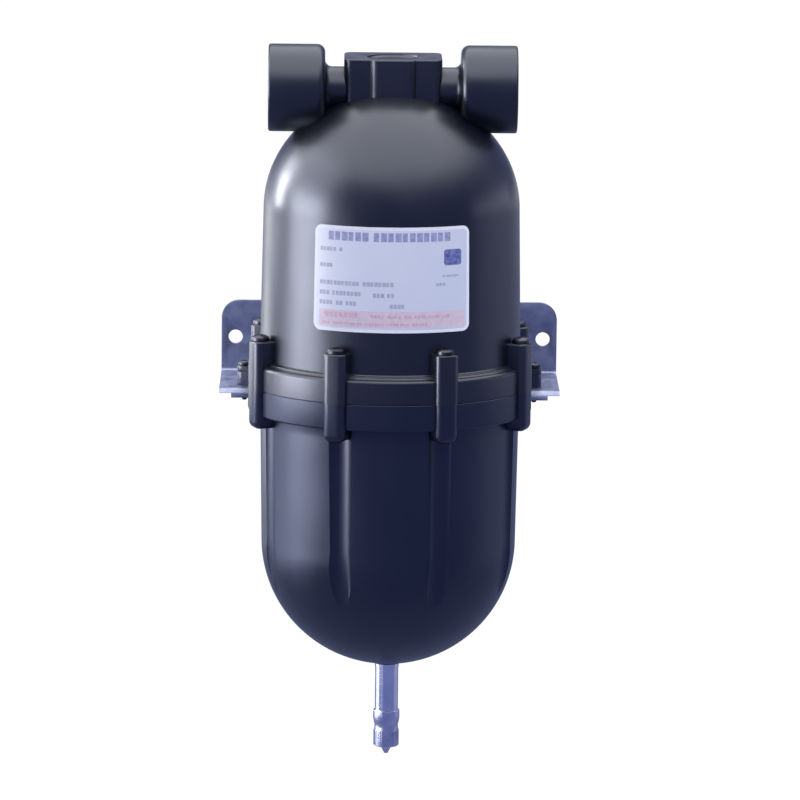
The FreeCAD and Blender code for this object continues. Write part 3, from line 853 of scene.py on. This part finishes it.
grip_top = below_rim(6.9)
grip_end = below_rim(12.0)
cap_end = cap_rim_z - cap_l
cap_outline = [(cap_bore_r * 0.3, cap_rim_z - cap_floor), (cap_bore_r, cap_rim_z - cap_floor),
               (cap_bore_r, below_rim(0.3)), (cap_bore_r + 0.25 * mm, cap_rim_z)]
cap_outline += quarter((cap_rim_r - 0.2 * mm, cap_rim_z), (cap_rim_r, cap_rim_z),
                       (cap_rim_r, below_rim(0.2)), 4)
cap_outline += quarter((cap_rim_r, below_rim(2.2)), (cap_rim_r, below_rim(3.2)),
                       (cap_waist_r + 0.2 * mm, below_rim(4.2)), 6)
cap_outline += [(cap_waist_r, below_rim(4.9)), (cap_waist_r, below_rim(5.9)),
                (cap_waist_r + 0.1 * mm, below_rim(6.4)), (cap_grip_root, grip_top),
                (cap_grip_root, grip_end), (cap_grip_r - 0.4 * mm, below_rim(12.3)),
                (cap_tip_r + 0.95 * mm, below_rim(12.75)), (cap_tip_r + 0.7 * mm, below_rim(13.0))]
cap_outline += quarter((cap_tip_r, below_rim(14.5)), (cap_tip_r, cap_end),
                       (cap_tip_r * 0.4, cap_end), 5)
cap = turn_rings("cap_body", cap_outline, knurls * 2)


def on_knurl(face):
    """Every second face round the outside of the grip."""
    spot = face.center.to_2d()
    share = spot.angle_signed(Vector((1, 0))) / (2 * pi) % 1
    column = round(share * knurls * 2 - 0.5)
    return grip_end < face.center.z < grip_top and column % 2 == 0 and spot.length > cap_bore_r


select_parts(cap, "FACE", on_knurl)
bpy.ops.mesh.inset(thickness=knurl_gap, use_individual=True)
bpy.ops.transform.shrink_fatten(value=cap_grip_r - cap_grip_root)
bpy.ops.object.mode_set(mode="OBJECT")
slot_cut = make_block("slot", (-3 * mm, -slot_side, cap_end - past),
                      (3 * mm, slot_side, below_rim(13.6)))
combine(cap, slot_cut, "DIFFERENCE")
settle(cap, place=tank_place)
# The cap's plating has the same painted blue reflection in its colour.
cap_nickel = nickel_plate("nickel cap", (0.52, 0.53, 0.68), (0.72, 0.73, 0.86), (0.16, 0.32))
finish_piece(cap, cap_nickel, "valve_cap", "cap", 25)


# Label
# Silver-white foil with rounded corners, stuck on the front of the tapered wall. Its print is
# plain blocks, rules and fields of colour, laid as thin patches of ink on the foil.
label_w = 53.3 * mm
label_h = 34.4 * mm
label_z = 40.4 * mm
label_t = 0.2 * mm
label_corner = 2.5 * mm
label_lift = 0.01 * mm
label_slice = 1.2 * mm
border_w = 1 * mm
ink_t = 0.02 * mm


def wall_radius(z):
    """Radius of the upper shell's tapered wall at a height."""
    share = (z - bead_top) / (upper_dome_z - bead_top)
    return upper_foot_r + (upper_dome_r - upper_foot_r) * share


def flat_patch(name, x, z, width, height, corner):
    """Flat patch on the label's own plane, sliced upright so that it can follow the wall."""
    patch = upright_plane(name, width, height, (x, 0, z))
    bpy.ops.object.mode_set(mode="EDIT")
    bpy.ops.mesh.select_all(action="SELECT")
    bpy.ops.mesh.bevel(offset=corner, segments=8, affect="VERTICES")
    cuts = int(width / label_slice)
    for i in range(1, cuts + 1):
        bpy.ops.mesh.select_all(action="SELECT")
        cut_x = x - width / 2 + width * i / (cuts + 1)
        bpy.ops.mesh.bisect(plane_co=(cut_x, 0, 0), plane_no=(1, 0, 0))
    bpy.ops.object.mode_set(mode="OBJECT")
    return patch


def wrap_on_wall(patch, lift, thickness):
    """Wraps a flat patch round the tank's wall and gives it thickness."""
    layer = patch.data.uv_layers.active or patch.data.uv_layers.new(name="UVMap")
    for loop in patch.data.loops:
        spot = patch.data.vertices[loop.vertex_index].co
        layer.data[loop.index].uv = (spot.x / label_w + 0.5, (spot.z - label_z) / label_h + 0.5)
    middle_r = wall_radius(label_z)
    for vertex in patch.data.vertices:
        turn = vertex.co.x / middle_r
        radius = wall_radius(vertex.co.z) + lift
        vertex.co = (radius * sin(turn), -radius * cos(turn), vertex.co.z)
    make_active(patch)
    bpy.ops.object.mode_set(mode="EDIT")
    bpy.ops.mesh.select_all(action="SELECT")
    bpy.ops.mesh.remove_doubles(threshold=same_point)
    bpy.ops.object.mode_set(mode="OBJECT")
    front = patch.data.polygons[0]
    outward = front.normal.dot(Vector((front.center.x, front.center.y, 0))) > 0
    apply_modifier(patch, "SOLIDIFY", thickness=thickness, offset=1 if outward else -1)
    if not outward:
        bpy.ops.object.mode_set(mode="EDIT")
        bpy.ops.mesh.select_all(action="SELECT")
        bpy.ops.mesh.normals_make_consistent(inside=False)
        bpy.ops.object.mode_set(mode="OBJECT")
    settle(patch, place=tank_place)


def split_axes(tree, vector):
    node = tree.nodes.new("ShaderNodeSeparateXYZ")
    tree.links.new(vector, node.inputs["Vector"])
    return node.outputs


def add_math(tree, operation, first, second):
    node = tree.nodes.new("ShaderNodeMath")
    node.operation = operation
    tree.links.new(first, node.inputs[0])
    tree.links.new(second, node.inputs[1])
    return node.outputs["Value"]


def label_foil(name, left, right, rough):
    """Printed foil with a faint brush, lighter towards the upper left and darker towards the lower
    right as painted light.
    """
    material, tree, shader = new_material(name)
    across = split_axes(tree, tree.nodes.new("ShaderNodeUVMap").outputs["UV"])
    cloud = add_noise(tree, 70, 3.0)
    brush = add_noise(tree, 900, 2.0, (0.3, 0.3, 3))
    # The lighter upper left and darker lower right are painted light from the lamps at the left and
    # above.
    slope = add_math(tree, "SUBTRACT", across["X"], add_range(tree, across["Y"], -0.15, 0.25, 0, 1))
    blend = add_range(tree, slope, 0, 1, -0.1, 0.9)
    mottle = add_math(tree, "ADD", blend, add_range(tree, cloud, -0.08, 0.08))
    set_surface(tree, shader, add_mix(tree, mottle, left, right), add_range(tree, brush, *rough),
                add_bump(tree, brush, 0.004 * mm, 0.5))
    return material


def printed_ink(name, colour):
    """Flat printing ink, slightly uneven where it lies on the foil."""
    material, tree, shader = new_material(name)
    cloud = add_noise(tree, 900, 3.0)
    paler = [c + (1 - c) * 0.18 for c in colour]
    set_surface(tree, shader, add_mix(tree, add_range(tree, cloud, 0, 1), colour, paler),
                add_range(tree, cloud, 0.35, 0.5), add_bump(tree, cloud, 0.003 * mm, 0.5))
    return material


border_white = printed_ink("label border", (0.78, 0.80, 0.84))
foil = label_foil("label foil", (0.70, 0.73, 0.80), (0.58, 0.62, 0.72), (0.30, 0.42))
label = flat_patch("label_foil", 0, label_z, label_w, label_h, label_corner)
wrap_on_wall(label, label_lift, label_t)
finish_piece(label, border_white, "label")

panel = flat_patch("label_panel", 0, label_z, label_w - 2 * border_w, label_h - 2 * border_w,
                   label_corner - border_w)
wrap_on_wall(panel, label_t + label_lift, ink_t)
finish_piece(panel, foil, None)

blue_ink = printed_ink("blue ink", (0.24, 0.25, 0.46))
grey_ink = printed_ink("grey ink", (0.33, 0.36, 0.48))
red_ink = printed_ink("red ink", (0.58, 0.36, 0.44))
pink_ink = printed_ink("pink field", (0.62, 0.50, 0.58))
mark_blue = printed_ink("mark blue", (0.05, 0.07, 0.30))
ink_lift = label_t + 0.03 * mm
top_ink_lift = ink_lift + ink_t
label_left = -label_w / 2
label_top = label_z + label_h / 2


def print_patches(name, patches, ink, lift=ink_lift):
    """Patches as (from left, from top, width, height, corner) in millimetres, as one print."""
    made = []
    for left, top, width, height, corner in patches:
        x = label_left + (left + width / 2) * mm
        z = label_top - (top + height / 2) * mm
        made.append(flat_patch(name, x, z, width * mm, height * mm, corner * mm))
    make_active(*made)
    if len(made) > 1:
        bpy.ops.object.join()
    result = bpy.context.object
    wrap_on_wall(result, lift, ink_t)
    finish_piece(result, ink, None)


def word_blocks(left, top, height, pitch, counts, space):
    """A row of plain blocks in groups, as a line of print looks from a step away."""
    widths = (0.84, 0.76, 0.88, 0.70, 0.80, 0.86, 0.74)
    block_corner = 0.12
    patches = []
    x = left
    turn = 0
    for count in counts:
        for _ in range(count):
            patches.append((x, top, pitch * widths[turn % len(widths)], height, block_corner))
            x += pitch
            turn += 1
        x += space
    return patches


title = word_blocks(5.2, 1.8, 2.9, 2.34, (6, 11), 1.4)
rows = word_blocks(2.2, 7.0, 1.3, 1.2, (5, 1), 0.9)
rows += word_blocks(2.2, 12.3, 1.3, 1.2, (4,), 0.9)
rows += word_blocks(2.2, 17.9, 1.4, 1.28, (11, 8), 0.9)
rows += word_blocks(2.2, 21.2, 1.4, 1.26, (3, 8), 0.9)
rows += word_blocks(20.6, 21.5, 1.4, 1.25, (3, 2), 0.8)
rows += word_blocks(2.2, 24.4, 1.4, 1.26, (4, 2, 3), 0.9)
rows += word_blocks(26.0, 25.0, 1.4, 1.25, (4,), 0.9)
rows += word_blocks(43.4, 15.7, 0.7, 0.72, (8,), 0.5)
rows += word_blocks(41.2, 18.2, 1.0, 1.1, (3,), 0.5)
warm = word_blocks(4.2, 28.1, 1.6, 1.7, (7,), 0.9)
warm += word_blocks(20.0, 28.6, 1.1, 1.1, (4, 4, 2, 11), 1.0)
warm += word_blocks(3.2, 31.2, 0.9, 1.02, (3, 10, 6, 7, 5), 0.9)
print_patches("print_title", title, blue_ink)
print_patches("print_rows", rows, grey_ink)
print_patches("print_field", [(2.2, 27.4, 49.0, 5.4, 0.5)], pink_ink)
print_patches("print_warm_rows", warm, red_ink, top_ink_lift)
print_patches("print_mark", [(43.9, 7.4, 6.3, 5.2, 0.9)], mark_blue)


# Pieces inside the tank and the valve
# The rubber bladder and seals and the brass core keep their solids, and get their finishes
# here. They show only where the valve's cap or the parts are drawn away.
def soft_rubber(name, dark, light):
    """Matt rubber with a faint pale bloom and a fine grain."""
    material, tree, shader = new_material(name)
    bloom = add_noise(tree, 90, 4.0)
    grain = add_noise(tree, 1800, 2.0)
    set_surface(tree, shader, add_mix(tree, add_range(tree, bloom, 0, 1), dark, light),
                add_range(tree, bloom, 0.6, 0.8), add_bump(tree, grain, 0.015 * mm, 0.6))
    return material


bladder_rubber = soft_rubber("bladder rubber", (0.012, 0.012, 0.013), (0.028, 0.028, 0.03))
seal_rubber = soft_rubber("seal rubber", (0.015, 0.015, 0.016), (0.035, 0.035, 0.037))
core_brass = worn_steel("turned brass", (0.60, 0.42, 0.16), (0.74, 0.56, 0.27), 1.0, (0.18, 0.34))
inner_finishes = {
    "bladder": bladder_rubber, "stem_washer": seal_rubber, "core_barrel_seal": seal_rubber,
    "core_seal": seal_rubber, "cap_gasket": seal_rubber, "core_body": core_brass,
    "core_pin": core_brass,
}
for name, material in inner_finishes.items():
    give_material(nodes[name], material)


# Core spring
# Round steel wire wound in open turns between the pin's collar and the closed end of the
# core's barrel. It is built at its rest length; in the real valve it shortens by the pin's travel
# when the pin is pressed in.
spring_r = 1.1 * mm
wire_r = 0.15 * mm
wire_sides = 12
spring_turns = 6
spring_low = -111.75 * mm
spring_high = -104.45 * mm
wire_turns = [2 * pi * i / wire_sides for i in range(wire_sides)]
wire = [(spring_r + wire_r * cos(t), spring_low + wire_r * sin(t)) for t in wire_turns]
spring_pitch = (spring_high - spring_low) / spring_turns
spring = wind_round("spring_wire", wire, spring_pitch, spring_turns, 32)
settle(spring, place=tank_place)
spring_steel = worn_steel("spring wire", (0.40, 0.40, 0.42), (0.6, 0.6, 0.62), 1.0, (0.2, 0.35))
finish_piece(spring, spring_steel, "core_spring", angle=60)
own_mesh(spring)


# Studio
# A white floor well below the hanging tank, a soft fill in front and a bright ceiling. Strong
# soft boxes at the left and rear left, and weak ones at the right and front left, show only as
# reflections in the glossy shells.
def soft_box(name, place, size, strength, colour=(1, 1, 1)):
    """Lit panel that stands at a place measured from the tank, and faces it."""
    light = bpy.data.lights.new(name, "AREA")
    light.shape = "RECTANGLE"
    light.size, light.size_y = size
    light.energy = strength
    light.color = colour
    lamp = bpy.data.objects.new(name, light)
    bpy.context.scene.collection.objects.link(lamp)
    lamp.location = tank_place + Vector(place)
    lamp.rotation_euler = (-Vector(place)).to_track_quat("-Z", "Y").to_euler()
    return lamp


for lamp in (soft_box("left soft box", (-1.185, -0.19, 0.055), (0.80, 0.48), 13.6),
             soft_box("left upper soft box", (-1.08, -0.04, 0.60), (1.2, 0.75), 7.5),
             soft_box("left low soft box", (-1.17, 0.27, -0.36), (0.9, 0.30), 1.5, (0.72, 0.78, 1)),
             soft_box("rear left soft box", (-1.053, 0.657, 0.16), (0.22, 0.36), 4.9),
             soft_box("rear left upper soft box", (-1.002, 0.626, 0.43), (0.36, 0.32), 2.9),
             soft_box("rear left low soft box", (-0.75, 0.98, -0.14), (0.34, 0.20), 0.8),
             soft_box("front left soft box", (-0.924, -0.832, -0.13), (0.35, 0.40), 0.44),
             soft_box("right soft box", (1.207, 0.32, 0.11), (1.2, 0.20), 0.95),
             soft_box("right low soft box", (1.19, 0.30, -0.24), (0.9, 0.34), 0.12)):
    lamp.visible_diffuse = False
fill = soft_box("front fill", (0.4, -1.6, 0.7), (1.0, 1.0), 8)
fill.visible_glossy = False

start_fresh()
floor_front = -0.35
floor_size = 14.0
floor_z = parting_z - 0.45
floor_middle = (0, floor_front + floor_size / 2, floor_z)
bpy.ops.mesh.primitive_plane_add(size=floor_size, location=floor_middle)
floor = bpy.context.object
floor.name = "floor"
floor_white = bpy.data.materials.new("floor white")
floor_white.use_nodes = True
floor_tree = floor_white.node_tree
floor_tree.nodes.clear()


def add_rays(tree, *kinds):
    """One where a ray is of any of the named kinds."""
    path = tree.nodes.new("ShaderNodeLightPath")
    total = path.outputs[kinds[0]]
    for kind in kinds[1:]:
        total = add_math(tree, "MAXIMUM", total, path.outputs[kind])
    return total


def blend_shaders(tree, share, first, second, output):
    """Ends a tree with a mix of two shaders."""
    mix = tree.nodes.new("ShaderNodeMixShader")
    for source, socket in zip((share, first, second), mix.inputs):
        tree.links.new(source, socket)
    tree.links.new(mix.outputs["Shader"], tree.nodes.new(output).inputs["Surface"])


matt = floor_tree.nodes.new("ShaderNodeBsdfDiffuse")
matt.inputs["Color"].default_value = (0.75, 0.76, 0.8, 1)
glow = floor_tree.nodes.new("ShaderNodeEmission")
floor_spot = floor_tree.nodes.new("ShaderNodeNewGeometry")
floor_y = split_axes(floor_tree, floor_spot.outputs["Position"])["Y"]
# Near the tank the floor glows dim blue, seen only in reflections: a painted reflection that keeps
# the tank's underside dark and blue. To the camera, and far off, it glows white.
far = add_math(floor_tree, "MAXIMUM", add_range(floor_tree, floor_y, 0, 1, 3.0, 6.0),
               add_rays(floor_tree, "Is Camera Ray"))
floor_tree.links.new(add_mix(floor_tree, far, (0.10, 0.14, 0.34), (1, 1, 1)), glow.inputs["Color"])
floor_seen = add_rays(floor_tree, "Is Camera Ray", "Is Glossy Ray", "Is Transmission Ray")
blend_shaders(floor_tree, add_range(floor_tree, floor_seen, 0, 0.9, 0, 1), matt.outputs["BSDF"],
              glow.outputs["Emission"], "ShaderNodeOutputMaterial")
floor.data.materials.append(floor_white)

# The room: a bright ceiling, dim blue sides, and white straight behind the tank.
world = bpy.data.worlds.new("studio")
bpy.context.scene.world = world
world.use_nodes = True
room_tree = world.node_tree
room_tree.nodes.clear()
room = room_tree.nodes.new("ShaderNodeBackground")
white = room_tree.nodes.new("ShaderNodeBackground")
white.inputs["Color"].default_value = (1, 1, 1, 1)
for background in (room, white):
    background.inputs["Strength"].default_value = 1.0
aim = split_axes(room_tree, room_tree.nodes.new("ShaderNodeNewGeometry").outputs["Incoming"])
above = add_range(room_tree, aim["Z"], 0, 1, -0.48, -0.70)
room_colour = add_mix(room_tree, above, (0.17, 0.20, 0.42), (2.4, 2.4, 2.4))
room_tree.links.new(room_colour, room.inputs["Color"])
mirrored = add_math(room_tree, "MULTIPLY", add_range(room_tree, aim["Y"], 0, 0.27, -0.92, -0.99),
                    add_rays(room_tree, "Is Glossy Ray", "Is Transmission Ray"))
room_seen = add_math(room_tree, "MAXIMUM", mirrored, add_rays(room_tree, "Is Camera Ray"))
blend_shaders(room_tree, room_seen, room.outputs["Background"], white.outputs["Background"],
              "ShaderNodeOutputWorld")

camera_distance = 2.0
camera_rise = radians(9.53)
camera_side = radians(-0.45)
camera_roll = radians(0.61)
metres_per_pixel = 0.3311 * mm
picture_pixels = 800
aim_pixel = (389.8, 382.1)
camera_data = bpy.data.cameras.new("camera")
camera = bpy.data.objects.new("camera", camera_data)
bpy.context.scene.collection.objects.link(camera)
offset = Vector((sin(camera_side) * cos(camera_rise), -cos(camera_side) * cos(camera_rise),
                 sin(camera_rise)))
camera.location = tank_place + offset * camera_distance
look = (-offset).to_track_quat("-Z", "Y").to_matrix() @ Matrix.Rotation(camera_roll, 3, "Z")
camera.rotation_euler = look.to_euler()
camera_data.sensor_width = 36
camera_data.lens = camera_data.sensor_width * camera_distance / (metres_per_pixel * picture_pixels)
camera_data.shift_x = (picture_pixels / 2 - aim_pixel[0]) / picture_pixels
camera_data.shift_y = (aim_pixel[1] - picture_pixels / 2) / picture_pixels
camera_data.clip_end = 50
bpy.context.scene.camera = camera
bpy.context.scene.view_settings.view_transform = "Standard"

start_fresh()
